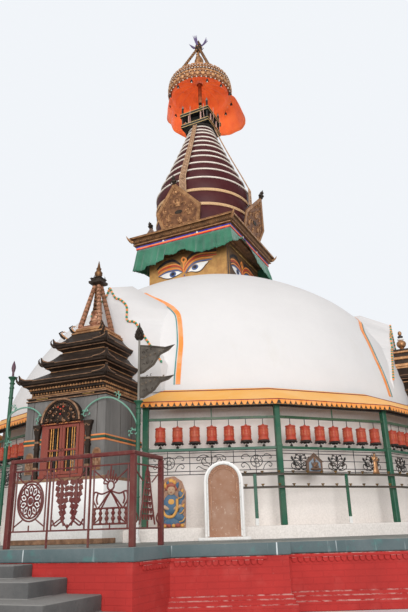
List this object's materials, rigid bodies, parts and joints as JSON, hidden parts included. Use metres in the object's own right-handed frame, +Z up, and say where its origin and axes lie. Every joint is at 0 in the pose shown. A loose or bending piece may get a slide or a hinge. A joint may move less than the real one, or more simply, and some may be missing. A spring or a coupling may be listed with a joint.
{
  "type": "stupa",
  "caption": "White-domed Buddhist stupa with a ringed spire and parasol, four tiered shrines, a roofed prayer-wheel gallery and a red-walled stepped terrace.",
  "frame": {"origin": "on the ground at the centre line of the dome", "axes": "+Z up, -Y out of the front shrine with the doors, +X to the right of someone who faces that shrine"},
  "size_m": [16.85, 18.025, 16.01],
  "materials": {
    "red_wall": "matte",
    "coping": "matte",
    "step_stone": "matte",
    "whitewash": "matte",
    "painted_gilt": "satin",
    "gilt_bronze": "satin",
    "green_cloth": "matte",
    "orange_cloth": "matte",
    "spire_paint": "satin",
    "dark_bronze": "satin",
    "black_gold": "satin",
    "roof_sheet": "satin",
    "green_paint": "satin",
    "wheel_paint": "satin",
    "grey_render": "matte",
    "door_wood": "satin",
    "maroon_paint": "satin",
    "sheet_metal": "satin",
    "brown_stone": "matte",
    "painted_stone": "matte",
    "black_iron": "matte"
  },
  "bodies": {
    "stupa": {"plinth_wall": "red_wall", "terrace_coping": "coping", "front_steps": "step_stone", "drum_ledge": "whitewash", "dome": "whitewash", "harmika": "painted_gilt", "harmika_cornice": "dark_bronze", "harmika_valance": "green_cloth", "torana_front": "gilt_bronze", "torana_right": "gilt_bronze", "torana_back": "gilt_bronze", "torana_left": "gilt_bronze", "spire_cone": "spire_paint", "spire_straps": "gilt_bronze", "parasol_frame": "black_gold", "parasol_skirt": "orange_cloth", "parasol_crown": "dark_bronze", "pinnacle": "dark_bronze", "gallery_frame": "green_paint", "gallery_roof": "roof_sheet", "gallery_right": "green_paint", "gallery_back": "green_paint", "gallery_left": "green_paint", "shrine_base": "whitewash", "shrine_wall_left": "grey_render", "shrine_wall_right": "grey_render", "shrine_tympanum": "dark_bronze", "shrine_roof": "dark_bronze", "shrine_finial": "gilt_bronze", "door_frame": "door_wood", "shrine_right": "grey_render", "shrine_back": "grey_render", "shrine_left": "grey_render", "railing_right": "maroon_paint", "railing_left": "maroon_paint", "arch_right": "green_paint", "arch_left": "green_paint", "banner": "sheet_metal", "stele": "brown_stone", "guardian_relief": "painted_stone", "lamp_rack": "black_iron"},
    "prayer_wheel_1": {"prayer_wheel_1": "wheel_paint"},
    "prayer_wheel_2": {"prayer_wheel_2": "wheel_paint"},
    "prayer_wheel_3": {"prayer_wheel_3": "wheel_paint"},
    "prayer_wheel_4": {"prayer_wheel_4": "wheel_paint"},
    "prayer_wheel_5": {"prayer_wheel_5": "wheel_paint"},
    "prayer_wheel_6": {"prayer_wheel_6": "wheel_paint"},
    "prayer_wheel_7": {"prayer_wheel_7": "wheel_paint"},
    "prayer_wheel_8": {"prayer_wheel_8": "wheel_paint"},
    "prayer_wheel_9": {"prayer_wheel_9": "wheel_paint"},
    "prayer_wheel_10": {"prayer_wheel_10": "wheel_paint"},
    "prayer_wheel_11": {"prayer_wheel_11": "wheel_paint"},
    "prayer_wheel_12": {"prayer_wheel_12": "wheel_paint"},
    "prayer_wheel_13": {"prayer_wheel_13": "wheel_paint"},
    "prayer_wheel_14": {"prayer_wheel_14": "wheel_paint"},
    "door_left": {"door_left": "door_wood"},
    "door_right": {"door_right": "door_wood"}
  },
  "joints": [
    {"name": "prayer_wheel_1_spin", "type": "hinge", "parent": "stupa", "child": "prayer_wheel_1", "pos_m": [1.27482, -5.23353, 2.25], "axis": [0, 0, 1], "continuous": true},
    {"name": "prayer_wheel_2_spin", "type": "hinge", "parent": "stupa", "child": "prayer_wheel_2", "pos_m": [1.52889, -5.12829, 2.25], "axis": [0, 0, 1], "continuous": true},
    {"name": "prayer_wheel_3_spin", "type": "hinge", "parent": "stupa", "child": "prayer_wheel_3", "pos_m": [1.78296, -5.02305, 2.25], "axis": [0, 0, 1], "continuous": true},
    {"name": "prayer_wheel_4_spin", "type": "hinge", "parent": "stupa", "child": "prayer_wheel_4", "pos_m": [2.03702, -4.91781, 2.25], "axis": [0, 0, 1], "continuous": true},
    {"name": "prayer_wheel_5_spin", "type": "hinge", "parent": "stupa", "child": "prayer_wheel_5", "pos_m": [2.29109, -4.81257, 2.25], "axis": [0, 0, 1], "continuous": true},
    {"name": "prayer_wheel_6_spin", "type": "hinge", "parent": "stupa", "child": "prayer_wheel_6", "pos_m": [2.54516, -4.70733, 2.25], "axis": [0, 0, 1], "continuous": true},
    {"name": "prayer_wheel_7_spin", "type": "hinge", "parent": "stupa", "child": "prayer_wheel_7", "pos_m": [2.79922, -4.6021, 2.25], "axis": [0, 0, 1], "continuous": true},
    {"name": "prayer_wheel_8_spin", "type": "hinge", "parent": "stupa", "child": "prayer_wheel_8", "pos_m": [3.18057, -4.34729, 2.25], "axis": [0, 0, 1], "continuous": true},
    {"name": "prayer_wheel_9_spin", "type": "hinge", "parent": "stupa", "child": "prayer_wheel_9", "pos_m": [3.37502, -4.15284, 2.25], "axis": [0, 0, 1], "continuous": true},
    {"name": "prayer_wheel_10_spin", "type": "hinge", "parent": "stupa", "child": "prayer_wheel_10", "pos_m": [3.56948, -3.95838, 2.25], "axis": [0, 0, 1], "continuous": true},
    {"name": "prayer_wheel_11_spin", "type": "hinge", "parent": "stupa", "child": "prayer_wheel_11", "pos_m": [3.76393, -3.76393, 2.25], "axis": [0, 0, 1], "continuous": true},
    {"name": "prayer_wheel_12_spin", "type": "hinge", "parent": "stupa", "child": "prayer_wheel_12", "pos_m": [3.95838, -3.56948, 2.25], "axis": [0, 0, 1], "continuous": true},
    {"name": "prayer_wheel_13_spin", "type": "hinge", "parent": "stupa", "child": "prayer_wheel_13", "pos_m": [4.15284, -3.37502, 2.25], "axis": [0, 0, 1], "continuous": true},
    {"name": "prayer_wheel_14_spin", "type": "hinge", "parent": "stupa", "child": "prayer_wheel_14", "pos_m": [4.34729, -3.18057, 2.25], "axis": [0, 0, 1], "continuous": true},
    {"name": "door_left_swing", "type": "hinge", "parent": "stupa", "child": "door_left", "pos_m": [-0.298, -6.084, 2.065], "axis": [0, 0, -1], "range_deg": [0, 95]},
    {"name": "door_right_swing", "type": "hinge", "parent": "stupa", "child": "door_right", "pos_m": [0.298, -6.084, 2.065], "axis": [0, 0, 1], "range_deg": [0, 95]}
  ]
}
